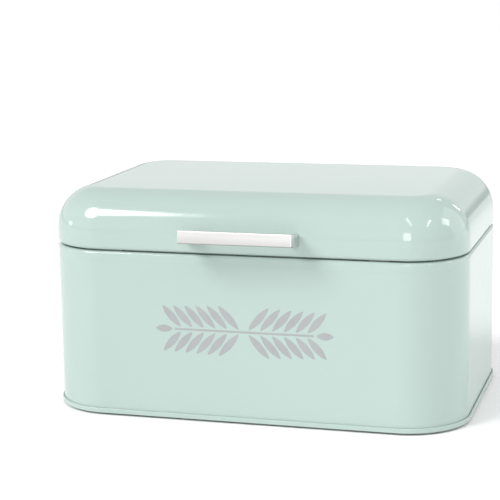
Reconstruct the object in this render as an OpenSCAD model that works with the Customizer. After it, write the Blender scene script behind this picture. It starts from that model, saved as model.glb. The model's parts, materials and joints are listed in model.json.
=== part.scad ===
// Steel bread bin with a rear-hinged lid and a bar handle.
// The origin is on the resting plane, under the middle of the whole part.
// +X is along the width, -Y is the front with the handle, +Z is up.

/* [Overall size] */
// Width of the body over its side walls
body_w = 300; // [240:5:400]
// Depth of the body over its front and back walls
body_d = 200; // [180:5:280]
// Height from the resting plane to the top of the lid
total_h = 160; // [140:5:220]
// Height of the lid alone
lid_h = 40; // [39:0.5:44]
// Corner radius of the body and the lid, seen from above
corner_r = 44; // [38:1:60]
// Radius that rounds the lid's walls into its top
edge_r = 29.3; // [24:0.1:29.5]

/* [Sheet metal] */
// Thickness of the steel sheet
sheet = 0.6; // [0.5:0.1:0.8]
// Gap between the body's shoulder and the lid's lower edge
seam_gap = 1; // [0.8:0.1:1.4]
// Width of the shoulder, from the wall's outside to the neck
ledge_w = 5.3; // [5.2:0.1:6]
// Height of the neck above the shoulder
neck_h = 8; // [6:0.5:9]
// Outer radius of the bend between the wall and the shoulder
shoulder_r = 2.2; // [1.4:0.1:2.4]
// Inner radius of the bend between the shoulder and the neck
neck_bend_r = 0.8; // [0.6:0.1:0.8]
// Outer radius of the curl along the neck's top
curl_r = 1.5; // [1.2:0.1:1.8]
// Width of the hem that is folded inwards along the lid's lower edge
hem_w = 4.3; // [4:0.1:4.4]
// Height of the hem's upturned inner side
hem_h = 5; // [3:0.5:6]
// Outer radius of the fold at the lid's lower edge
hem_r = 2.5; // [1.5:0.1:2.6]

/* [Base] */
// Height of the seamed rim around the base
rim_h = 3.5; // [3:0.1:5]
// Distance from the walls to the stamped field in the base
field_inset = 42; // [38:1:50]
// Height of the stamped field in the base
field_h = 1.2; // [0.8:0.1:2]
// Corner radius of the stamped field, seen from above
field_r = 14; // [4:1:30]
// Diameter of a foot
foot_d = 16; // [12:1:18]
// Height of the rim above the resting plane
foot_gap = 1.5; // [1:0.1:3]
// Distance from the walls to the middle of a foot
foot_inset = 24; // [23:1:28]

/* [Vents] */
// Number of vent holes in the back wall
vent_count = 7; // [1:2:9]
// Diameter of a vent hole
vent_d = 5; // [3:0.5:6]
// Distance between vent holes
vent_pitch = 14; // [10:1:14]
// Distance from the seam down to the row of vent holes
vent_drop = 32; // [26:1:50]

/* [Handle] */
// Length of the handle bar
bar_l = 80; // [60:5:110]
// Height of the handle bar and its posts
bar_h = 9; // [8:0.5:9]
// Thickness of the handle bar, front to back
bar_t = 5; // [5:0.5:7]
// Distance from the lid's front to the front of the bar, along the posts
bar_reach = 20; // [16:1:26]
// Height of the posts' middle on the lid's front, above the lid's lower edge
bar_rise = 11.9; // [11.5:0.1:12.2]
// Angle at which the posts rise towards the bar
bar_tilt = 9; // [0:1:10]
// Width of a handle post
post_w = 6; // [6:0.5:9]
// Diameter of a handle screw
screw_d = 4; // [3:0.5:4]

/* [Hinges] */
// Distance from the middle of the body to the middle of a hinge
hinge_x = 80; // [60:5:85]
// Width of a hinge
hinge_w = 40; // [34:2:44]
// Thickness of a hinge leaf
leaf_t = 1.2; // [1:0.1:1.4]
// Height of the leaf on the body, below the seam
leaf_drop = 19; // [17:1:22]
// Outer radius of the knuckles
barrel_r = 3; // [2.8:0.1:3.2]
// Radius of the hinge pin
pin_r = 1.5; // [1.3:0.1:1.6]
// Opening angle at which the lid's stop meets the leaf on the body
open_angle = 100; // [90:5:105]

/* [Hidden] */

$fn = 96;
eps = 0.01;
mint = [0.79, 0.89, 0.86];
steel = [0.72, 0.73, 0.74];
satin = [0.92, 0.92, 0.92];
rubber = [0.16, 0.16, 0.17];
silicone = [0.70, 0.72, 0.71];
nylon = [0.90, 0.90, 0.88];

// Heights of the seam: shoulder below it, lid above it, hinge axis between.
lid_z = total_h - lid_h;
shoulder_z = lid_z - seam_gap;
axis_z = lid_z - seam_gap / 2;
edge_z = total_h - edge_r;
neck_z = shoulder_z + neck_h;

// The hinge axis stands clear of the back wall; the stop tab reaches past it.
// In front, the bar's lower edge reaches furthest.
bar_edge_r = 0.6;
axis_gap = 0.4;
axis_off = barrel_r + axis_gap;
tab_len = 6;
tab_t = leaf_t;
tab_reach = norm([tab_len, tab_t / 2]);
bar_in = bar_reach - bar_edge_r;
bar_low = bar_h / 2 - bar_edge_r;
front_reach = bar_in * cos(bar_tilt) + bar_low * sin(bar_tilt) + bar_edge_r;
back_reach = axis_off + tab_reach;
mid_y = (front_reach - back_reach) / 2;
front_y = mid_y - body_d / 2;
back_y = mid_y + body_d / 2;
axis_y = back_y + axis_off;

// The stop tab's angle at rest, measured from the front upwards.
stop_gap = 0.1;
tab_lean = atan2(tab_t / 2, tab_len);
tab_touch = 360 - acos((axis_off - leaf_t - stop_gap) / tab_reach) - tab_lean;
tab_angle = tab_touch - open_angle;

// Base rim: a channel that grips the wall's lower edge; its outer side is folded double.
rim_gap = 0.05;
pan_z = foot_gap + rim_h;
wall_z = foot_gap + sheet;
rim_fold = 2 * sheet;
rim_out = rim_gap + rim_fold;

// Lid bumpers on the front of the shoulder.
bumper_l = 14;
bumper_x = 95;
bumper_in = 2.5;
bumper_w = 1.8;

// Lap joint that closes the body wall at the middle of the back.
lap_w = 10;
lap_margin = 6;

// Hinge details.
knuckle_share = 0.25;
knuckle_gap = 0.3;
notch_gap = 0.5;
pin_fit = 0.02;
turn_fit = 0.08;
pin_head_r = 2.1;
pin_head_h = 0.8;
leaf_top = edge_z - 0.5;
rivet_r = 1.6;
rivet_fit = 0.1;
rivet_head_r = 3;
rivet_head_h = 1.3;
rivet_tail_r = 2.5;
rivet_tail_h = 0.8;
rivet_x = 13;
body_rivet_z = axis_z - 12;
lid_rivet_z = leaf_top - 3.2;

// Handle details.
bar_z = lid_z + bar_rise;
bar_back = bar_t - bar_reach;
post_x = bar_l / 2 - post_w / 2;
screw_clear = 0.4;
screw_bite = 3.5;
screw_bite_fit = 0.1;
screw_head_r = 3.8;
screw_head_h = 2.4;
slot_w = 1.2;
slot_l = 4.6;
slot_deep = 1.4;
washer_r = 5;
washer_back = 2.8;

// Quarter of a ring, the section of a bend; q is the quadrant, 0 to 3.
module bend(r_out, r_in, q) {
    rotate(90 * q)
        intersection() {
            difference() {
                circle(r_out);
                circle(r_in);
            }
            square(r_out + 1);
        }
}

// Rectangle given by its lowest and highest corners.
module span(lo, hi) {
    translate(lo)
        square(hi - lo);
}

// Carries a section around the plan of the body.
// The section's X is the distance from a corner's centre, its Y is the height.
module around() {
    half_x = body_w / 2 - corner_r;
    half_y = body_d / 2 - corner_r;
    for (i = [0:3]) {
        across = i % 2 == 0 ? half_x : half_y;
        along = i % 2 == 0 ? half_y : half_x;
        translate([0, mid_y, 0])
            rotate(90 * i) {
                translate([across, along, 0])
                    rotate([90, 0, 0])
                        linear_extrude(2 * along)
                            children();
                translate([across, along, 0])
                    rotate_extrude(angle = 90)
                        children();
            }
    }
}

// Rounded rectangle that lies a given distance inside the walls' outside.
module plan(inset, r) {
    w = body_w - 2 * inset;
    d = body_d - 2 * inset;
    translate([0, mid_y]) {
        square([w, d - 2 * r], center = true);
        square([w - 2 * r, d], center = true);
        for (sx = [-1, 1], sy = [-1, 1])
            translate([sx * (w / 2 - r), sy * (d / 2 - r)])
                circle(r);
    }
}

// Section of the body: wall, shoulder, neck and curl.
module wall_section() {
    translate([corner_r, 0]) {
        span([-sheet, wall_z], [0, shoulder_z - shoulder_r]);
        translate([-shoulder_r, shoulder_z - shoulder_r])
            bend(shoulder_r, shoulder_r - sheet, 0);
        span([neck_bend_r - ledge_w, shoulder_z - sheet], [-shoulder_r, shoulder_z]);
        translate([neck_bend_r - ledge_w, shoulder_z + neck_bend_r])
            bend(neck_bend_r + sheet, neck_bend_r, 2);
        span([-ledge_w - sheet, shoulder_z + neck_bend_r], [-ledge_w, neck_z]);
        translate([-ledge_w - curl_r, neck_z])
            for (q = [0:2])
                bend(curl_r, curl_r - sheet, q);
    }
}

// Section of the lid: hem, wall and rounding.
module lid_section() {
    translate([corner_r, 0]) {
        span([-hem_w, lid_z + sheet], [sheet - hem_w, lid_z + hem_h]);
        span([-hem_w, lid_z], [-hem_r, lid_z + sheet]);
        translate([-hem_r, lid_z + hem_r])
            bend(hem_r, hem_r - sheet, 3);
        span([-sheet, lid_z + hem_r], [0, edge_z]);
        translate([-edge_r, edge_z])
            bend(edge_r, edge_r - sheet, 0);
    }
}

// Section of the channel that is seamed around the wall's lower edge.
module rim_section() {
    inner = sheet + rim_gap;
    translate([corner_r, 0]) {
        span([-inner - sheet, foot_gap], [-inner, pan_z + sheet]);
        span([-inner, foot_gap], [rim_out - sheet, foot_gap + sheet]);
        span([rim_out - rim_fold, foot_gap + sheet], [rim_out, pan_z - sheet]);
        for (z = [foot_gap + sheet, pan_z - sheet])
            translate([rim_out - sheet, z])
                circle(sheet, $fn = 32);
    }
}

// Inside of the lid's outline at its front, as a bar along X.
module front_form(inset, length) {
    translate([-length / 2, 0, 0])
        rotate([90, 0, 90])
            linear_extrude(length) {
                translate([front_y + edge_r, edge_z])
                    circle(edge_r - inset);
                span([front_y + inset, lid_z], [front_y + edge_r, edge_z]);
            }
}

// Cylinder along Y, from one Y to another.
module y_rod(r, from_y, to_y) {
    translate([0, from_y, 0])
        rotate([-90, 0, 0])
            cylinder(r = r, h = to_y - from_y);
}

// Cylinder along X, centred.
module x_rod(r, length) {
    rotate([0, 90, 0])
        cylinder(r = r, h = length, center = true);
}

// Turns a handle part about the middle of the posts on the lid's front.
// The part's Y is 0 there and falls along the posts towards the bar.
module tilted() {
    translate([0, front_y, bar_z])
        rotate([-bar_tilt, 0, 0])
            children();
}

module body_wall() {
    lap_y = back_y - 2 * sheet;
    color(mint)
        difference() {
            union() {
                around()
                    wall_section();
                translate([-lap_w / 2, lap_y, pan_z + lap_margin])
                    cube([lap_w, 1.5 * sheet, shoulder_z - pan_z - 2 * lap_margin]);
            }
            for (i = [0:vent_count - 1])
                translate([(i - (vent_count - 1) / 2) * vent_pitch, 0, axis_z - vent_drop])
                    y_rod(vent_d / 2, lap_y - 1, back_y + 1);
            for (sx = [-1, 1], k = [-1, 1])
                translate([sx * hinge_x + k * rivet_x, 0, body_rivet_z])
                    y_rod(rivet_r + rivet_fit, lap_y - 1, back_y + 1);
        }
}

module base_pan() {
    edge_inset = sheet + rim_gap + sheet;
    color(mint) {
        around()
            rim_section();
        translate([0, 0, pan_z])
            linear_extrude(sheet)
                difference() {
                    plan(edge_inset, corner_r - edge_inset);
                    plan(field_inset, field_r);
                }
        translate([0, 0, pan_z])
            linear_extrude(field_h)
                difference() {
                    plan(field_inset, field_r);
                    plan(field_inset + sheet, field_r - sheet);
                }
        translate([0, 0, pan_z + field_h])
            linear_extrude(sheet)
                plan(field_inset, field_r);
    }
}

module foot(sx, sy) {
    round_r = 1.2;
    color(rubber)
        translate([sx * (body_w / 2 - foot_inset), mid_y + sy * (body_d / 2 - foot_inset), 0])
            rotate_extrude() {
                square([foot_d / 2 - round_r, pan_z]);
                span([foot_d / 2 - round_r, round_r], [foot_d / 2, pan_z]);
                translate([foot_d / 2 - round_r, round_r])
                    circle(round_r, $fn = 48);
            }
}

module lid_bumper(sx) {
    color(silicone)
        translate([sx * bumper_x - bumper_l / 2, front_y + bumper_in, shoulder_z])
            cube([bumper_l, bumper_w, seam_gap]);
}

// One knuckle of a hinge, before its bore is cut.
module knuckle(x, length) {
    translate([x, axis_y, axis_z])
        x_rod(barrel_r, length);
}

module body_hinge_leaf(sx) {
    side_w = hinge_w * knuckle_share - knuckle_gap / 2;
    side_x = hinge_w / 2 - side_w / 2;
    color(steel)
        translate([sx * hinge_x, 0, 0])
            difference() {
                union() {
                    translate([-hinge_w / 2, back_y, axis_z - leaf_drop])
                        cube([hinge_w, leaf_t, leaf_drop - barrel_r - notch_gap]);
                    for (k = [-1, 1]) {
                        translate([k * side_x - side_w / 2, back_y, axis_z - barrel_r - notch_gap - eps])
                            cube([side_w, leaf_t, barrel_r + notch_gap + eps]);
                        knuckle(k * side_x, side_w);
                    }
                }
                translate([0, axis_y, axis_z])
                    x_rod(pin_r + pin_fit, hinge_w + 2);
                for (k = [-1, 1])
                    translate([k * rivet_x, 0, body_rivet_z])
                        y_rod(rivet_r + rivet_fit, back_y - 1, back_y + leaf_t + 1);
            }
}

module lid_hinge_leaf(sx) {
    mid_w = hinge_w * (1 - 2 * knuckle_share) - knuckle_gap;
    notch_z = axis_z + barrel_r + notch_gap;
    color(steel)
        translate([sx * hinge_x, 0, 0])
            difference() {
                union() {
                    translate([-hinge_w / 2, back_y, notch_z])
                        cube([hinge_w, leaf_t, leaf_top - notch_z]);
                    translate([-mid_w / 2, back_y, axis_z])
                        cube([mid_w, leaf_t, notch_z - axis_z + eps]);
                    knuckle(0, mid_w);
                    translate([-mid_w / 2, axis_y, axis_z])
                        rotate([180 - tab_angle, 0, 0])
                            translate([0, 0, -tab_t / 2])
                                cube([mid_w, tab_len, tab_t]);
                }
                translate([0, axis_y, axis_z])
                    x_rod(pin_r + turn_fit, hinge_w + 2);
                for (k = [-1, 1])
                    translate([k * rivet_x, 0, lid_rivet_z])
                        y_rod(rivet_r + rivet_fit, back_y - 1, back_y + leaf_t + 1);
            }
}

module hinge_pin(sx) {
    color(steel)
        translate([sx * hinge_x, axis_y, axis_z]) {
            x_rod(pin_r, hinge_w + pin_head_h);
            for (k = [-1, 1])
                translate([k * (hinge_w + pin_head_h) / 2, 0, 0])
                    x_rod(pin_head_r, pin_head_h);
        }
}

// Rivet along Y with its head on the leaf and its tail inside the sheet.
module rivet() {
    head_y = back_y + leaf_t;
    dome_r = (rivet_head_r * rivet_head_r + rivet_head_h * rivet_head_h) / (2 * rivet_head_h);
    y_rod(rivet_r, back_y - sheet - rivet_tail_h / 2, head_y + eps);
    y_rod(rivet_tail_r, back_y - sheet - rivet_tail_h, back_y - sheet);
    translate([0, head_y, 0])
        rotate([-90, 0, 0])
            intersection() {
                translate([0, 0, rivet_head_h - dome_r])
                    sphere(dome_r);
                cylinder(r = rivet_head_r + 1, h = rivet_head_h + 1);
            }
}

module body_rivets(sx) {
    color(steel)
        for (k = [-1, 1])
            translate([sx * hinge_x + k * rivet_x, 0, body_rivet_z])
                rivet();
}

module lid_rivets(sx) {
    color(steel)
        for (k = [-1, 1])
            translate([sx * hinge_x + k * rivet_x, 0, lid_rivet_z])
                rivet();
}

module lid_shell() {
    color(mint)
        difference() {
            union() {
                around()
                    lid_section();
                translate([0, 0, total_h - sheet])
                    linear_extrude(sheet)
                        plan(edge_r, corner_r - edge_r);
            }
            for (sx = [-1, 1])
                tilted()
                    translate([sx * post_x, 0, 0])
                        y_rod((screw_d + screw_clear) / 2, -2, washer_back);
            for (sx = [-1, 1], k = [-1, 1])
                translate([sx * hinge_x + k * rivet_x, 0, lid_rivet_z])
                    y_rod(rivet_r + rivet_fit, back_y - sheet - 1, back_y + 1);
        }
}

module handle_bar() {
    color(satin)
        tilted()
            difference() {
                translate([-bar_l / 2, -bar_reach, -bar_h / 2])
                    rotate([90, 0, 90])
                        linear_extrude(bar_l) {
                            translate([bar_edge_r, 0])
                                square([bar_t - 2 * bar_edge_r, bar_h]);
                            translate([0, bar_edge_r])
                                square([bar_t, bar_h - 2 * bar_edge_r]);
                            for (y = [bar_edge_r, bar_t - bar_edge_r], z = [bar_edge_r, bar_h - bar_edge_r])
                                translate([y, z])
                                    circle(bar_edge_r, $fn = 32);
                        }
                for (sx = [-1, 1])
                    translate([sx * post_x, 0, 0])
                        y_rod((screw_d + screw_bite_fit) / 2, bar_back - screw_bite, bar_back + 1);
            }
}

module handle_post(sx) {
    deep = 3;
    color(satin)
        difference() {
            tilted()
                difference() {
                    translate([sx * post_x - post_w / 2, bar_back, -bar_h / 2])
                        cube([post_w, deep - bar_back, bar_h]);
                    translate([sx * post_x, 0, 0])
                        y_rod((screw_d + screw_clear) / 2, bar_back - 1, deep + 1);
                }
            front_form(0, bar_l + 10);
        }
}

module handle_screw(sx) {
    tip_gap = 0.3;
    color(steel)
        tilted()
            translate([sx * post_x, 0, 0])
                difference() {
                    union() {
                        y_rod(screw_d / 2, bar_back - screw_bite + tip_gap, washer_back + eps);
                        y_rod(screw_head_r, washer_back, washer_back + screw_head_h);
                    }
                    for (turn = [0, 90])
                        rotate([0, turn, 0])
                            translate([-slot_l / 2, washer_back + screw_head_h - slot_deep, -slot_w / 2])
                                cube([slot_l, slot_deep + 1, slot_w]);
                }
}

// Tapered washer between the lid's inside and a screw's head.
module handle_washer(sx) {
    color(nylon)
        difference() {
            intersection() {
                tilted()
                    translate([sx * post_x, 0, 0])
                        y_rod(washer_r, -2, washer_back);
                front_form(sheet, bar_l + 10);
            }
            tilted()
                translate([sx * post_x, 0, 0])
                    y_rod((screw_d + screw_clear) / 2, -3, washer_back + 1);
        }
}

body_wall();
base_pan();
foot(-1, -1);  // foot_front_left
foot(1, -1);  // foot_front_right
foot(-1, 1);  // foot_back_left
foot(1, 1);  // foot_back_right
lid_bumper(-1);  // lid_bumper_left
lid_bumper(1);  // lid_bumper_right
body_hinge_leaf(-1);  // body_hinge_leaf_left
body_hinge_leaf(1);  // body_hinge_leaf_right
hinge_pin(-1);  // hinge_pin_left
hinge_pin(1);  // hinge_pin_right
body_rivets(-1);  // body_rivets_left
body_rivets(1);  // body_rivets_right
lid_shell();
lid_hinge_leaf(-1);  // lid_hinge_leaf_left
lid_hinge_leaf(1);  // lid_hinge_leaf_right
lid_rivets(-1);  // lid_rivets_left
lid_rivets(1);  // lid_rivets_right
handle_bar();
handle_post(-1);  // handle_post_left
handle_post(1);  // handle_post_right
handle_screw(-1);  // handle_screw_left
handle_screw(1);  // handle_screw_right
handle_washer(-1);  // handle_washer_left
handle_washer(1);  // handle_washer_right
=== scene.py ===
"""Looks of the steel bread bin with a rear-hinged lid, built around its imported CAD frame."""

import bmesh
import bpy
import json
import math
from mathutils import Euler, Matrix, Vector

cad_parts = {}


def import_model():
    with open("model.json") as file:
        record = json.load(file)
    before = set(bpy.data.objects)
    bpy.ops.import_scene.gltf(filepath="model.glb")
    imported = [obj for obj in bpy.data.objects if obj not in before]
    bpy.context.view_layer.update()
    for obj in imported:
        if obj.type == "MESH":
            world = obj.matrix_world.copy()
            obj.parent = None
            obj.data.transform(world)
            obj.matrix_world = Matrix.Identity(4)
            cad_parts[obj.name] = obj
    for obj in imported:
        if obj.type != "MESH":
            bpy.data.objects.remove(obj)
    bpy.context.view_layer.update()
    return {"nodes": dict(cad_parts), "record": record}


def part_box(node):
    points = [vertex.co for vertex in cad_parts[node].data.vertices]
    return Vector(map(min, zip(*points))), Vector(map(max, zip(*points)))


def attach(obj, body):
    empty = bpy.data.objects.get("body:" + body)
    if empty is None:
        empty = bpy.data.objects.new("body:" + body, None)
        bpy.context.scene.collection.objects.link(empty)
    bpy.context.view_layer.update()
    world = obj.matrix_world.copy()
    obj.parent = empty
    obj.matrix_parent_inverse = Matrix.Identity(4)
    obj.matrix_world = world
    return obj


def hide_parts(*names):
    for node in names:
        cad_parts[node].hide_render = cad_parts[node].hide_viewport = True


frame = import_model()

# Sizes are in metres; MM turns millimetres into them.
MM = 0.001

# Places of the CAD nodes.
WALL_LO, WALL_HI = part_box("body_wall")
LID_LO, LID_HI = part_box("lid_shell")
PAN_LO, PAN_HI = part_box("base_pan")
HALF_W = WALL_HI.x
HALF_D = (WALL_HI.y - WALL_LO.y) / 2
MID_Y = (WALL_LO.y + WALL_HI.y) / 2
FRONT_Y = WALL_LO.y
BACK_Y = WALL_HI.y
LID_Z = LID_LO.z
TOP_Z = LID_HI.z

# The sheet metal, as the CAD model has it.
SHEET = 0.6 * MM
CORNER_R = 44 * MM
EDGE_R = 29.3 * MM
EDGE_Z = TOP_Z - EDGE_R
SEAM_GAP = 1 * MM
SHOULDER_Z = LID_Z - SEAM_GAP
SHOULDER_R = 2.2 * MM
LEDGE_W = 5.3 * MM
NECK_R = 0.8 * MM
NECK_Z = SHOULDER_Z + 8 * MM
FOLD_R = 0.5 * MM
CURL_R = 1.5 * MM
HEM_W = 4.3 * MM
HEM_H = 5 * MM
HEM_R = 2.5 * MM
RIM_OUT = PAN_HI.x - HALF_W
RIM_H = 3.5 * MM
RIM_GAP = 0.05 * MM
RIM_TOP_R = SHEET
FIELD_INSET = 42 * MM
FIELD_R = 14 * MM
FIELD_EDGE_R = 0.8 * MM

# The handle: its posts meet the lid's front at PIVOT and rise towards the bar.
BAR_L = 80 * MM
BAR_H = 9 * MM
BAR_T = 5 * MM
BAR_REACH = 20 * MM
BAR_EDGE_R = 0.6 * MM
BAR_TILT = 9
POST_W = 6 * MM
POST_X = (BAR_L - POST_W) / 2
POST_CHAMFER = 0.25 * MM
PIVOT_Z = LID_Z + 11.9 * MM
TILT = Matrix.Translation((0, FRONT_Y, PIVOT_Z)) @ Matrix.Rotation(math.radians(-BAR_TILT), 4, "X")

# How finely curves are built, and the angle from which an edge stays sharp.
CORNER_STEPS = 28
STRAIGHT_STEPS = 14
ROD_STEPS = 32
GROOVE_STEPS = 8
GRAIN_STEPS = 14
SHARP_ANGLE = math.radians(32)

# A CAD mesh is joined at this gap, and faces within this angle become one.
MERGE_GAP = 0.0005 * MM
FLAT_ANGLE = math.radians(0.5)


# ---------------------------------------------------------------- mesh helpers

def new_object(name, mesh, material, body):
    """Links a mesh as a piece that rides on a CAD body."""
    piece = bpy.data.objects.new(name, mesh)
    bpy.context.scene.collection.objects.link(piece)
    mesh.materials.clear()
    mesh.materials.append(material)
    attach(piece, body)
    return piece


def smooth(piece):
    """Smooth shading that keeps flat faces flat and creases sharp."""
    mesh = piece.data
    mesh.polygons.foreach_set("use_smooth", [True] * len(mesh.polygons))
    mesh.set_sharp_from_angle(angle=SHARP_ANGLE)
    weigh = piece.modifiers.new("weighted_normals", "WEIGHTED_NORMAL")
    weigh.keep_sharp = True
    weigh.weight = 100
    weigh.mode = "FACE_AREA"


def plan_loop(inset, z, radius=None):
    """Rounded rectangle that lies inset from the walls' outside, at height z."""
    r = CORNER_R - inset if radius is None else radius
    half = (HALF_W - inset - r, HALF_D - inset - r)
    loop = []
    for quarter in range(4):
        turn = Matrix.Rotation(quarter * math.pi / 2, 2)
        across, along = half if quarter % 2 == 0 else half[::-1]
        for i in range(STRAIGHT_STEPS):
            t = 2 * i / STRAIGHT_STEPS - 1
            loop.append(turn @ Vector((across + r, along * t)))
        for i in range(CORNER_STEPS):
            a = i / CORNER_STEPS * math.pi / 2
            loop.append(turn @ Vector((across + r * math.cos(a), along + r * math.sin(a))))
    return [Vector((p.x, p.y + MID_Y, z)) for p in loop]


def arc(out, z, r, start, end, steps):
    """Points of a section's arc: offset outwards and height, angles in degrees."""
    points = []
    for i in range(steps + 1):
        a = math.radians(start + (end - start) * i / steps)
        points.append((out + r * math.cos(a), z + r * math.sin(a)))
    return points


def groove(out, z, depth, width):
    """Points of a shallow rounded groove in an upright face, from its lower edge up."""
    points = []
    for i in range(GROOVE_STEPS + 1):
        t = 2 * i / GROOVE_STEPS - 1
        dip = depth * (0.5 + 0.5 * math.cos(math.pi * t))
        points.append((out - dip, z + t * width / 2))
    return points


def loft(name, loops, closed):
    """Mesh through loops of equal length; an open loft gets a face on each end."""
    mesh = bpy.data.meshes.new(name)
    bm = bmesh.new()
    rows = [[bm.verts.new(p) for p in loop] for loop in loops]
    count = len(rows[0])
    pairs = list(zip(rows, rows[1:]))
    if closed:
        pairs.append((rows[-1], rows[0]))
    for low, high in pairs:
        for i in range(count):
            j = (i + 1) % count
            bm.faces.new((low[i], low[j], high[j], high[i]))
    if not closed:
        bm.faces.new(rows[0])
        bm.faces.new(rows[-1])
    bmesh.ops.recalc_face_normals(bm, faces=bm.faces)
    bm.to_mesh(mesh)
    bm.free()
    return mesh


def swept(name, section, closed=True):
    """Mesh of a section carried around the plan of the bin."""
    return loft(name, [plan_loop(-out, z) for out, z in section], closed)


def rod_mesh(r, length):
    """Closed cylinder along Y, centred on the origin."""
    loops = []
    for y in (-length / 2, length / 2):
        angles = [2 * math.pi * i / ROD_STEPS for i in range(ROD_STEPS)]
        loops.append([Vector((r * math.cos(a), y, r * math.sin(a))) for a in angles])
    return loft("rod", loops, False)


def cut(piece, holes, turn=Matrix()):
    """Cuts round holes along Y, turned as told; holes are (x, y, z, radius, depth)."""
    cutters = bmesh.new()
    for x, y, z, r, depth in holes:
        rod = rod_mesh(r, depth)
        rod.transform(turn @ Matrix.Translation((x, y, z)))
        cutters.from_mesh(rod)
        bpy.data.meshes.remove(rod)
    mesh = bpy.data.meshes.new("cutters")
    cutters.to_mesh(mesh)
    cutters.free()
    tool = bpy.data.objects.new("cutters", mesh)
    bpy.context.scene.collection.objects.link(tool)
    boolean = piece.modifiers.new("cut", "BOOLEAN")
    boolean.object = tool
    boolean.operation = "DIFFERENCE"
    boolean.solver = "EXACT"
    graph = bpy.context.evaluated_depsgraph_get()
    done = bpy.data.meshes.new_from_object(piece.evaluated_get(graph))
    piece.modifiers.clear()
    piece.data = done
    bpy.data.objects.remove(tool)
    bpy.data.meshes.remove(mesh)


def rounded_box(name, lo, hi, bevel, steps):
    """Box between two corners with all its edges rounded."""
    mesh = bpy.data.meshes.new(name)
    bm = bmesh.new()
    size = hi - lo
    bmesh.ops.create_cube(bm, size=1)
    bmesh.ops.scale(bm, vec=size, verts=bm.verts)
    bmesh.ops.translate(bm, vec=(lo + hi) / 2, verts=bm.verts)
    bmesh.ops.bevel(
        bm, geom=list(bm.edges), offset=bevel, segments=steps, profile=0.5, affect="EDGES"
    )
    bm.to_mesh(mesh)
    bm.free()
    return mesh


def softened(node, width, material):
    """Copy of a CAD node's mesh with its sharp edges broken, which stands for the node."""
    mesh = frame["nodes"][node].data.copy()
    bm = bmesh.new()
    bm.from_mesh(mesh)
    bmesh.ops.remove_doubles(bm, verts=bm.verts, dist=MERGE_GAP)
    bmesh.ops.dissolve_limit(
        bm, angle_limit=FLAT_ANGLE, verts=bm.verts, edges=bm.edges, use_dissolve_boundaries=False
    )
    bm.to_mesh(mesh)
    bm.free()
    if "custom_normal" in mesh.attributes:
        mesh.attributes.remove(mesh.attributes["custom_normal"])
    piece = new_object(node + "_piece", mesh, material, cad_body(node))
    bevel = piece.modifiers.new("edges", "BEVEL")
    bevel.width = width
    bevel.segments = 2
    bevel.limit_method = "ANGLE"
    bevel.angle_limit = math.radians(40)
    bevel.harden_normals = False
    graph = bpy.context.evaluated_depsgraph_get()
    done = bpy.data.meshes.new_from_object(piece.evaluated_get(graph))
    piece.modifiers.clear()
    piece.data = done
    smooth(piece)
    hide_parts(node)
    return piece


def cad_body(node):
    """Name of the CAD body that a node belongs to."""
    return next(b for b, nodes in frame["record"]["behaviour"]["bodies"].items() if node in nodes)


# ------------------------------------------------------------------- materials

# The middle range of a noise texture, which is stretched over a finish's whole variation.
NOISE_LOW, NOISE_HIGH = 0.3, 0.7


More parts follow.
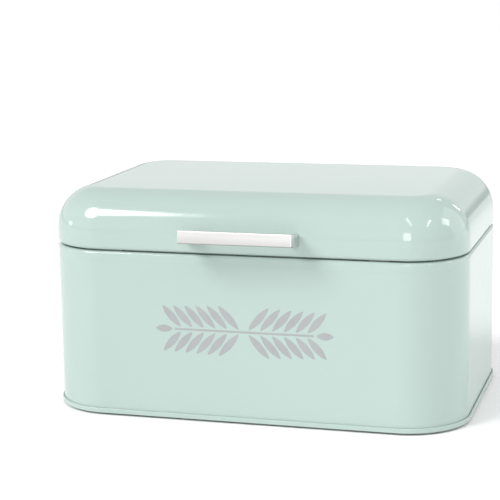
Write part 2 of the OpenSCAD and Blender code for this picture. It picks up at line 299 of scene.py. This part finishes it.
class Shader:
    """A node material being built: a Principled shader and what feeds it."""

    def __init__(self, name, color, roughness, metallic=0.0):
        self.material = bpy.data.materials.new(name)
        self.material.use_nodes = True
        self.nodes = self.material.node_tree.nodes
        self.links = self.material.node_tree.links
        self.shader = self.nodes["Principled BSDF"]
        self.shader.inputs["Base Color"].default_value = (*color, 1)
        self.shader.inputs["Roughness"].default_value = roughness
        self.shader.inputs["Metallic"].default_value = metallic
        self.place = self.nodes.new("ShaderNodeTexCoord").outputs["Object"]
        self.bump = None

    def noise(self, scale, detail=2.0, stretch=(1, 1, 1)):
        """Noise in the bin's own space; scale is in cells per metre."""
        mapping = self.nodes.new("ShaderNodeMapping")
        mapping.inputs["Scale"].default_value = stretch
        self.links.new(self.place, mapping.inputs["Vector"])
        texture = self.nodes.new("ShaderNodeTexNoise")
        texture.inputs["Scale"].default_value = scale
        texture.inputs["Detail"].default_value = detail
        self.links.new(mapping.outputs["Vector"], texture.inputs["Vector"])
        return texture.outputs["Fac"]

    def vary(self, socket, value, low, high):
        """Maps a texture's middle range onto a shader number."""
        ramp = self.nodes.new("ShaderNodeMapRange")
        ramp.inputs["From Min"].default_value = NOISE_LOW
        ramp.inputs["From Max"].default_value = NOISE_HIGH
        ramp.inputs["To Min"].default_value = low
        ramp.inputs["To Max"].default_value = high
        self.links.new(value, ramp.inputs["Value"])
        self.links.new(ramp.outputs["Result"], self.shader.inputs[socket])

    def tint(self, value, first, second):
        """Mixes two colours by a texture."""
        ramp = self.nodes.new("ShaderNodeValToRGB")
        ramp.color_ramp.elements[0].position = NOISE_LOW
        ramp.color_ramp.elements[0].color = (*first, 1)
        ramp.color_ramp.elements[1].position = NOISE_HIGH
        ramp.color_ramp.elements[1].color = (*second, 1)
        self.links.new(value, ramp.inputs["Fac"])
        self.links.new(ramp.outputs["Color"], self.shader.inputs["Base Color"])

    def bands(self, stops):
        """Paints shade and reflections into the colour by height in the bin's own space; stops are
        (height in mm, colour).
        """
        split = self.nodes.new("ShaderNodeSeparateXYZ")
        self.links.new(self.place, split.inputs["Vector"])
        scale = self.nodes.new("ShaderNodeMapRange")
        scale.inputs["From Min"].default_value = stops[0][0] * MM
        scale.inputs["From Max"].default_value = stops[-1][0] * MM
        self.links.new(split.outputs["Z"], scale.inputs["Value"])
        ramp = self.nodes.new("ShaderNodeValToRGB")
        levels = ramp.color_ramp.elements
        length = stops[-1][0] - stops[0][0]
        for height, _ in stops[1:-1]:
            levels.new((height - stops[0][0]) / length)
        for level, (_, color) in zip(levels, stops):
            level.color = (*color, 1)
        self.links.new(scale.outputs["Result"], ramp.inputs["Fac"])
        self.links.new(ramp.outputs["Color"], self.shader.inputs["Base Color"])

    def relief(self, value, height):
        """Adds a bump of a height in metres on top of the ones before."""
        bump = self.nodes.new("ShaderNodeBump")
        bump.inputs["Strength"].default_value = 1.0
        bump.inputs["Distance"].default_value = height
        self.links.new(value, bump.inputs["Height"])
        if self.bump is not None:
            self.links.new(self.bump.outputs["Normal"], bump.inputs["Normal"])
        self.links.new(bump.outputs["Normal"], self.shader.inputs["Normal"])
        self.bump = bump


def enamel():
    """Glossy mint powder coat: faint orange peel over gently wavy sheet."""
    s = Shader("mint_enamel", (0.364, 0.459, 0.426), 0.1)
    s.tint(s.noise(5, 3), (0.358, 0.453, 0.419), (0.370, 0.465, 0.433))
    s.vary("Roughness", s.noise(60, 4), 0.06, 0.12)
    s.relief(s.noise(8, 1), 0.30 * MM)
    s.relief(s.noise(420, 2), 0.004 * MM)
    return s.material


def brushed_aluminium(name, stops=None):
    """Satin anodised aluminium, brushed along X; stops paint shade and reflections into its colour by
    height.
    """
    s = Shader(name, (0.80, 0.79, 0.785), 0.33, 1.0)
    lines = s.noise(900, 3, (0.02, 1, 1))
    if stops:
        s.bands(stops)
    else:
        s.tint(lines, (0.66, 0.66, 0.65), (0.72, 0.72, 0.71))
    s.vary("Roughness", lines, 0.29, 0.37)
    s.relief(lines, 0.002 * MM)
    return s.material


def plated_steel(name, color, roughness):
    """Plated steel with a fine grain and slight clouding."""
    s = Shader(name, color, roughness, 1.0)
    dim = tuple(c * 0.88 for c in color)
    s.tint(s.noise(90, 4), dim, color)
    s.vary("Roughness", s.noise(300, 3), roughness - 0.06, roughness + 0.08)
    s.relief(s.noise(1500, 2), 0.003 * MM)
    return s.material


def nylon():
    """Natural nylon."""
    s = Shader("washer_nylon", (0.78, 0.77, 0.72), 0.42)
    s.tint(s.noise(200, 2), (0.75, 0.74, 0.69), (0.80, 0.79, 0.75))
    s.vary("Roughness", s.noise(500, 2), 0.38, 0.5)
    s.relief(s.noise(1200, 2), 0.01 * MM)
    return s.material


def rubber():
    """Matt dark rubber with a moulded grain."""
    s = Shader("foot_rubber", (0.03, 0.03, 0.032), 0.75)
    s.tint(s.noise(150, 3), (0.024, 0.024, 0.026), (0.040, 0.040, 0.042))
    s.vary("Roughness", s.noise(400, 2), 0.68, 0.84)
    s.relief(s.noise(1400, 2), 0.03 * MM)
    return s.material


def silicone():
    """Matt grey silicone."""
    s = Shader("bumper_silicone", (0.14, 0.15, 0.145), 0.6)
    s.tint(s.noise(150, 3), (0.13, 0.14, 0.135), (0.15, 0.16, 0.155))
    s.vary("Roughness", s.noise(400, 2), 0.55, 0.7)
    s.relief(s.noise(1400, 2), 0.01 * MM)
    return s.material


def print_ink():
    """Grey glossy printing ink, a little uneven."""
    s = Shader("print_ink", (0.31, 0.32, 0.33), 0.15)
    s.tint(s.noise(120, 3), (0.300, 0.312, 0.316), (0.322, 0.334, 0.338))
    s.vary("Roughness", s.noise(600, 2), 0.12, 0.2)
    s.relief(s.noise(900, 2), 0.004 * MM)
    return s.material


# The bar's colours by height above the resting plane, in millimetres: painted shadow and a painted dark
# reflection along its lower edge, a painted reflection that lightens the face towards the top, and a
# painted dark reflection along its top edge.
BAR_PAINTED_SHADE_BANDS = (
    (129.7, (0.28, 0.28, 0.275)), (131.0, (0.36, 0.36, 0.35)), (131.5, (0.70, 0.69, 0.685)),
    (136.0, (0.80, 0.79, 0.785)), (138.9, (0.82, 0.81, 0.80)), (139.5, (0.45, 0.45, 0.44)),
)

MINT = enamel()
ALUMINIUM = brushed_aluminium("handle_aluminium")
# The bar's material has painted shade and painted reflections in its colour, set by height.
BAR_PAINTED_SHADE_ALUMINIUM = brushed_aluminium("bar_aluminium_painted_shade", BAR_PAINTED_SHADE_BANDS)
HINGE_STEEL = plated_steel("hinge_steel", (0.62, 0.61, 0.59), 0.3)
SCREW_STEEL = plated_steel("screw_steel", (0.72, 0.72, 0.72), 0.2)
NYLON = nylon()
RUBBER = rubber()
SILICONE = silicone()
INK = print_ink()


# ------------------------------------------------------------------ the pieces

# The pressed line below the shoulder.
LINE_DROP = 7 * MM
LINE_DEPTH = 0.05 * MM
LINE_WIDTH = 1.1 * MM

# Holes in the sheet; HOLE_L is how long the cutting rods are.
HOLE_L = 4 * MM
SCREW_HOLE_R = 2.2 * MM
SCREW_HOLE_L = 5 * MM
RIVET_HOLE_R = 1.7 * MM
RIVET_X = 13 * MM
VENT_R = 2.5 * MM
VENT_COUNT = 7
VENT_PITCH = 14 * MM
VENT_Z = LID_Z - SEAM_GAP / 2 - 32 * MM

# The lap strip behind the back wall, and the hinge leaves' broken edges.
LAP_HALF_W = 5 * MM
LAP_MARGIN = 6 * MM
LAP_SINK = 0.1 * MM
LAP_BEVEL = 0.25 * MM
LAP_HOLE_L = 6 * MM
LEAF_BEVEL = 0.2 * MM

# The printed ornament: its middle's height above the base rim's lower edge, then its parts.
PRINT_RISE = 64.5 * MM
PRINT_T = 0.06 * MM
STEM_L = 100 * MM
STEM_W = 1.5 * MM
GRAIN_PAIRS = 6
GRAIN_START = 3.5 * MM
GRAIN_PITCH = 8.4 * MM
GRAIN_LIFT = 1.6 * MM
GRAIN_L = 22 * MM
GRAIN_W = 5.2 * MM
GRAIN_FADE = 0.02
GRAIN_LEAN = 48
TIP_GAP = 1.5 * MM
TIP_L = 12.5 * MM


def rivet_holes(side_node):
    """Holes for the rivets of one node pair, at the places that the CAD rivets have."""
    holes = []
    for side in ("left", "right"):
        lo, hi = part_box(f"{side_node}_{side}")
        x, z = (lo.x + hi.x) / 2, (lo.z + hi.z) / 2
        for k in (-1, 1):
            holes.append((x + k * RIVET_X, BACK_Y, z, RIVET_HOLE_R, HOLE_L))
    return holes


def body_wall():
    """Wall, shoulder, neck and curl of the body in one sheet."""
    bottom = WALL_LO.z
    line_z = SHOULDER_Z - LINE_DROP
    neck_out = NECK_R - LEDGE_W
    curl_out = -LEDGE_W - CURL_R
    section = [(0, bottom)]
    section += groove(0, line_z, LINE_DEPTH, LINE_WIDTH)
    section += arc(-SHOULDER_R, SHOULDER_Z - SHOULDER_R, SHOULDER_R, 0, 90, 8)
    section += arc(neck_out, SHOULDER_Z + NECK_R, NECK_R, 270, 180, 6)
    section += arc(curl_out, NECK_Z, CURL_R, 0, 270, 20)
    section += arc(curl_out, NECK_Z, CURL_R - SHEET, 270, 0, 14)
    section += arc(neck_out, SHOULDER_Z + NECK_R, NECK_R + SHEET, 180, 270, 6)
    section += arc(-SHOULDER_R, SHOULDER_Z - SHOULDER_R, SHOULDER_R - SHEET, 90, 0, 8)
    section += [(-SHEET, bottom)]
    piece = new_object("bin_wall", swept("bin_wall", section), MINT, "bin")
    holes = rivet_holes("body_rivets")
    for i in range(VENT_COUNT):
        x = (i - (VENT_COUNT - 1) / 2) * VENT_PITCH
        holes.append((x, BACK_Y, VENT_Z, VENT_R, HOLE_L))
    cut(piece, holes)
    smooth(piece)
    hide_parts("body_wall")


def wall_lap():
    """Lap strip that closes the wall at the middle of the back."""
    top = SHOULDER_Z - LAP_MARGIN
    bottom = PAN_LO.z + RIM_H + LAP_MARGIN
    lo = Vector((-LAP_HALF_W, BACK_Y - 2 * SHEET, bottom))
    hi = Vector((LAP_HALF_W, BACK_Y - SHEET + LAP_SINK, top))
    mesh = rounded_box("wall_lap", lo, hi, LAP_BEVEL, 3)
    piece = new_object("wall_lap", mesh, MINT, "bin")
    cut(piece, [(0, BACK_Y, VENT_Z, VENT_R, LAP_HOLE_L)])
    smooth(piece)


def lid_shell():
    """Lid: flat top, rounding, short wall and a hem folded inwards."""
    tip_r = SHEET / 2
    tip_z = LID_Z + HEM_H - tip_r
    section = arc(-EDGE_R, EDGE_Z, EDGE_R, 90, 0, 32)
    section += arc(-HEM_R, LID_Z + HEM_R, HEM_R, 360, 270, 8)
    section += arc(FOLD_R - HEM_W, LID_Z + FOLD_R, FOLD_R, 270, 180, 6)
    section += arc(tip_r - HEM_W, tip_z, tip_r, 180, 0, 8)
    section += [(SHEET - HEM_W, LID_Z + SHEET)]
    section += arc(-HEM_R, LID_Z + HEM_R, HEM_R - SHEET, 270, 360, 6)
    section += arc(-EDGE_R, EDGE_Z, EDGE_R - SHEET, 0, 90, 32)
    piece = new_object("lid", swept("lid", section, closed=False), MINT, "lid")
    cut(piece, rivet_holes("lid_rivets"))
    cut(piece, [(side * POST_X, 0, 0, SCREW_HOLE_R, SCREW_HOLE_L) for side in (-1, 1)], TILT)
    smooth(piece)
    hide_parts("lid_shell")


def base_pan():
    """Base with its stamped field, seamed around the wall's lower edge."""
    leg_out = -SHEET - RIM_GAP
    leg_in = leg_out - SHEET
    floor_z = PAN_LO.z
    plate_z = floor_z + RIM_H
    field_z = PAN_HI.z
    tip_z = plate_z - RIM_TOP_R
    edge_r = FIELD_EDGE_R
    loops = [plan_loop(FIELD_INSET + edge_r, field_z, FIELD_R - edge_r)]
    for out, z in arc(-FIELD_INSET - edge_r, field_z - edge_r, edge_r, 90, 0, 6)[1:]:
        loops.append(plan_loop(-out, z, FIELD_R + out + FIELD_INSET))
    loops.append(plan_loop(FIELD_INSET, plate_z + SHEET, FIELD_R))
    section = [(leg_out, plate_z + SHEET), (leg_out, floor_z + SHEET), (RIM_GAP, floor_z + SHEET)]
    section += arc(RIM_OUT - RIM_TOP_R, tip_z, RIM_TOP_R, 180, 0, 10)
    section += arc(RIM_OUT - FOLD_R, floor_z + FOLD_R, FOLD_R, 360, 270, 6)
    section += arc(leg_in + FOLD_R, floor_z + FOLD_R, FOLD_R, 270, 180, 6)
    section += [(leg_in, plate_z)]
    loops += [plan_loop(-out, z) for out, z in section]
    step_in = FIELD_INSET + SHEET
    loops.append(plan_loop(step_in, plate_z, FIELD_R - SHEET))
    loops.append(plan_loop(step_in, field_z - SHEET, FIELD_R - SHEET))
    piece = new_object("base", loft("base", loops, False), MINT, "bin")
    smooth(piece)
    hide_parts("base_pan")


def handle_bar():
    """Square-edged bar with small rounded edges."""
    lo = Vector((-BAR_L / 2, -BAR_REACH, -BAR_H / 2))
    hi = Vector((BAR_L / 2, BAR_T - BAR_REACH, BAR_H / 2))
    mesh = rounded_box("handle_grip", lo, hi, BAR_EDGE_R, 5)
    mesh.transform(TILT)
    # The bar's finish has painted shade and painted reflections along its edges.
    piece = new_object("handle_grip", mesh, BAR_PAINTED_SHADE_ALUMINIUM, "lid")
    smooth(piece)
    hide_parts("handle_bar")


def lid_reach(z):
    """Where the lid's front lies on the posts' own Y axis, for a point at a height there."""
    up = TILT.to_3x3() @ Vector((0, 0, z))
    along = TILT.to_3x3() @ Vector((0, 1, 0))
    y = 0.0
    for _ in range(6):
        rise = max(PIVOT_Z + up.z + y * along.z - EDGE_Z, 0)
        y = (EDGE_R - math.sqrt(EDGE_R**2 - rise**2) - up.y) / along.y
    return y


def handle_post(side):
    """Post from the lid's front to the back of the bar, its back cut to the lid."""
    node = f"handle_post_{side}"
    mid_x = POST_X * (1 if side == "right" else -1)
    half_w, half_h = POST_W / 2, BAR_H / 2
    r = BAR_EDGE_R
    ring = []
    for cx, cz, start in (
        (half_w - r, half_h - r, 0), (r - half_w, half_h - r, 90),
        (r - half_w, r - half_h, 180), (half_w - r, r - half_h, 270),
    ):
        ring += arc(cx, cz, r, start, start + 90, 5)
    fine = []
    for (x0, z0), (x1, z1) in zip(ring, ring[1:] + ring[:1]):
        steps = max(1, round(abs(z1 - z0) / MM))
        fine += [(x0 + (x1 - x0) * i / steps, z0 + (z1 - z0) * i / steps) for i in range(steps)]
    start_y = BAR_T - BAR_REACH
    keep_x, keep_z = 1 - POST_CHAMFER / half_w, 1 - POST_CHAMFER / half_h
    loops = [
        [Vector((mid_x + x * keep_x, start_y, z * keep_z)) for x, z in fine],
        [Vector((mid_x + x, start_y + POST_CHAMFER, z)) for x, z in fine],
        [Vector((mid_x + x, lid_reach(z), z)) for x, z in fine],
    ]
    mesh = loft(node, loops, False)
    mesh.transform(TILT)
    piece = new_object(node + "_piece", mesh, ALUMINIUM, "lid")
    smooth(piece)
    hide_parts(node)


def grain(length, width):
    """Outline of a grain along +X: a narrow foot, full in the middle, pointed at its tip."""
    upper = []
    for i in range(GRAIN_STEPS + 1):
        t = i / GRAIN_STEPS
        upper.append((length * t, width / 2 * math.sin(math.pi * t) ** 0.75))
    return upper + [(x, -y) for x, y in reversed(upper[1:-1])]


def placed(outline, x, z, lean):
    """Outline turned by an angle in degrees and moved to a point."""
    c, s = math.cos(math.radians(lean)), math.sin(math.radians(lean))
    return [(x + px * c - pz * s, z + px * s + pz * c) for px, pz in outline]


def wheat_shapes():
    """Outlines of the ornament: one stem with grains in pairs, mirrored about its middle."""
    half_l, half_w = STEM_L / 2, STEM_W / 2
    shapes = [[(-half_l, -half_w), (half_l, -half_w), (half_l, half_w), (-half_l, half_w)]]
    for side in (-1, 1):
        for i in range(GRAIN_PAIRS):
            x = GRAIN_START + GRAIN_PITCH * i
            outline = grain(GRAIN_L * (1 - GRAIN_FADE * i), GRAIN_W)
            for up in (-1, 1):
                leaf = placed(outline, x, GRAIN_LIFT, GRAIN_LEAN)
                shapes.append([(side * px, up * pz) for px, pz in leaf])
        tip = placed(grain(TIP_L, GRAIN_W), half_l + TIP_GAP, 0, 0)
        shapes.append([(side * px, pz) for px, pz in tip])
    return shapes


def wheat_print():
    """Printed ornament on the front: two ears of wheat that meet at the middle."""
    mid_z = PAN_LO.z + PRINT_RISE
    bm = bmesh.new()
    for shape in wheat_shapes():
        face = [bm.verts.new((x, FRONT_Y - PRINT_T, mid_z + z)) for x, z in shape]
        back = [bm.verts.new((x, FRONT_Y + PRINT_T, mid_z + z)) for x, z in shape]
        bm.faces.new(face)
        bm.faces.new(back)
        for i in range(len(face)):
            j = (i + 1) % len(face)
            bm.faces.new((face[i], face[j], back[j], back[i]))
    bmesh.ops.recalc_face_normals(bm, faces=bm.faces)
    mesh = bpy.data.meshes.new("wheat_print")
    bm.to_mesh(mesh)
    bm.free()
    piece = new_object("wheat_print", mesh, INK, "bin")


def dress_cad_nodes():
    """Gives the CAD nodes that stay their finished materials."""
    finishes = {
        "foot_": RUBBER, "lid_bumper": SILICONE, "hinge_pin": HINGE_STEEL,
        "body_rivets": HINGE_STEEL, "lid_rivets": HINGE_STEEL,
        "body_hinge_leaf": HINGE_STEEL, "lid_hinge_leaf": HINGE_STEEL,
        "handle_screw": SCREW_STEEL, "handle_washer": NYLON,
    }
    for name, node in frame["nodes"].items():
        for start, material in finishes.items():
            if name.startswith(start):
                node.data.materials.clear()
                node.data.materials.append(material)


def hinge_leaves():
    """Hinge leaves with their stamped edges broken."""
    for side in ("left", "right"):
        for leaf in ("body_hinge_leaf", "lid_hinge_leaf"):
            piece = softened(f"{leaf}_{side}", LEAF_BEVEL, HINGE_STEEL)


# ------------------------------------------------------------- camera and light

CAM_AZIMUTH = 16.34
CAM_ELEVATION = 10.97
CAM_ROLL = -0.93
CAM_DISTANCE = 1.2
CAM_TARGET = Vector((-0.0279, 0.0198, 0.1010))
CAM_LENS = 114.0
CAM_CLIP = (0.05, 60)

# What the lamps face, and the half width of the floor.
LAMP_AIM = Vector((0, 0, 0.12))
FLOOR_HALF_W = 30


# Brightness of the surround by height: the sine of the elevation, then the level.
SKY = ((0.0, 0.42), (0.05, 0.42), (0.09, 1.05), (0.4, 0.75), (0.95, 0.5))
SKY_TOP = 2.0

# The key light: azimuth, elevation, spread, share.
KEY = (-46, 42.4, 27, 0.75)

# The lamps: name, azimuth, elevation, size in degrees, radiance, spin, distance, shape.
LAMPS = (
    ("right_panel", 118, 15, (40, 60), 1.15, 0, 2.0, "RECTANGLE"),
    ("front_window", 11.5, 13.5, (13, 20), 6, 0, 3.0, "RECTANGLE"),
    ("right_window", 95, 31, (13, 13), 6, 45, 1.6, "RECTANGLE"),
    ("tube_front", 19.5, 51.5, (2, 20), 14, 12, 1.6, "RECTANGLE"),
    ("tube_right", 61, 41.5, (2, 18), 14, -45, 1.6, "RECTANGLE"),
    ("back_window", 154, 20, (3, 9), 8, -15, 1.6, "RECTANGLE"),
    ("back_dot", 166, 35, (3, 3), 8, 0, 1.6, "ELLIPSE"),
    ("left_window", -81, 5, (9, 7), 4, 15, 1.6, "RECTANGLE"),
)


def direction(azimuth, elevation):
    """Unit vector towards a place around the bin; azimuth 0 is in front, 90 at the right."""
    a, e = math.radians(azimuth), math.radians(elevation)
    return Vector((math.sin(a) * math.cos(e), -math.cos(a) * math.cos(e), math.sin(e)))


def camera():
    """Camera at the photograph's angle, rolled a little."""
    data = bpy.data.cameras.new("camera")
    data.lens = CAM_LENS
    data.sensor_width = 36
    data.clip_start, data.clip_end = CAM_CLIP
    cam = bpy.data.objects.new("camera", data)
    back = direction(CAM_AZIMUTH, CAM_ELEVATION)
    cam.location = CAM_TARGET + back * CAM_DISTANCE
    level = (-back).to_track_quat("-Z", "Y")
    roll = Euler((0, 0, math.radians(CAM_ROLL))).to_quaternion()
    cam.rotation_mode = "QUATERNION"
    cam.rotation_quaternion = level @ roll
    bpy.context.scene.collection.objects.link(cam)
    bpy.context.scene.camera = cam


def lamp(name, azimuth, elevation, size, radiance, spin, distance, shape):
    """Flat lamp that faces the bin; its size is in degrees, its radiance relative to white."""
    data = bpy.data.lights.new(name, "AREA")
    data.shape = shape
    data.size, data.size_y = (2 * distance * math.tan(math.radians(a / 2)) for a in size)
    area = data.size * data.size_y * (math.pi / 4 if shape == "ELLIPSE" else 1)
    data.energy = radiance * math.pi * area
    item = bpy.data.objects.new(name, data)
    towards = direction(azimuth, elevation)
    item.location = LAMP_AIM + towards * distance
    item.rotation_mode = "QUATERNION"
    aim = (-towards).to_track_quat("-Z", "Y")
    item.rotation_quaternion = aim @ Euler((0, 0, math.radians(spin))).to_quaternion()
    bpy.context.scene.collection.objects.link(item)


def key(azimuth, elevation, spread, share):
    """Round soft key light, far away; share is what it adds to a white face turned to it."""
    data = bpy.data.lights.new("key", "SUN")
    data.angle = math.radians(spread)
    data.energy = share * math.pi
    item = bpy.data.objects.new("key", data)
    item.rotation_mode = "QUATERNION"
    item.rotation_quaternion = (-direction(azimuth, elevation)).to_track_quat("-Z", "Y")
    bpy.context.scene.collection.objects.link(item)


def world():
    """Pale studio surround: a darker skirting at the horizon, brightest just above it."""
    studio = bpy.data.worlds.new("studio")
    bpy.context.scene.world = studio
    studio.use_nodes = True
    nodes, links = studio.node_tree.nodes, studio.node_tree.links
    place = nodes.new("ShaderNodeTexCoord")
    split = nodes.new("ShaderNodeSeparateXYZ")
    ramp = nodes.new("ShaderNodeValToRGB")
    levels = ramp.color_ramp.elements
    levels[0].position, levels[1].position = SKY[0][0], SKY[-1][0]
    for height, _ in SKY[1:-1]:
        levels.new(height)
    for level, (_, value) in zip(levels, SKY):
        level.color = (value / SKY_TOP, value / SKY_TOP, value / SKY_TOP, 1)
    gain = nodes.new("ShaderNodeMath")
    gain.operation = "MULTIPLY"
    gain.inputs[1].default_value = SKY_TOP
    links.new(place.outputs["Generated"], split.inputs["Vector"])
    links.new(split.outputs["Z"], ramp.inputs["Fac"])
    links.new(ramp.outputs["Color"], gain.inputs[0])
    links.new(gain.outputs["Value"], nodes["Background"].inputs["Strength"])
    nodes["Background"].inputs["Color"].default_value = (1, 1, 1, 1)


def floor():
    """Plain pale floor, large enough to reach the horizon."""
    mesh = bpy.data.meshes.new("floor")
    corners = [(x * FLOOR_HALF_W, y * FLOOR_HALF_W, 0) for x, y in ((-1, -1), (1, -1), (1, 1), (-1, 1))]
    mesh.from_pydata(corners, [], [(0, 1, 2, 3)])
    shader = Shader("floor_paint", (0.93, 0.93, 0.93), 0.6)
    shader.vary("Roughness", shader.noise(3, 2), 0.55, 0.65)
    mesh.materials.append(shader.material)
    plane = bpy.data.objects.new("floor", mesh)
    bpy.context.scene.collection.objects.link(plane)


camera()
body_wall()
wall_lap()
lid_shell()
base_pan()
handle_bar()
for side_name in ("left", "right"):
    handle_post(side_name)
wheat_print()
hinge_leaves()
dress_cad_nodes()

world()
floor()
key(*KEY)
for settings in LAMPS:
    lamp(*settings)
bpy.context.scene.view_settings.view_transform = "Standard"
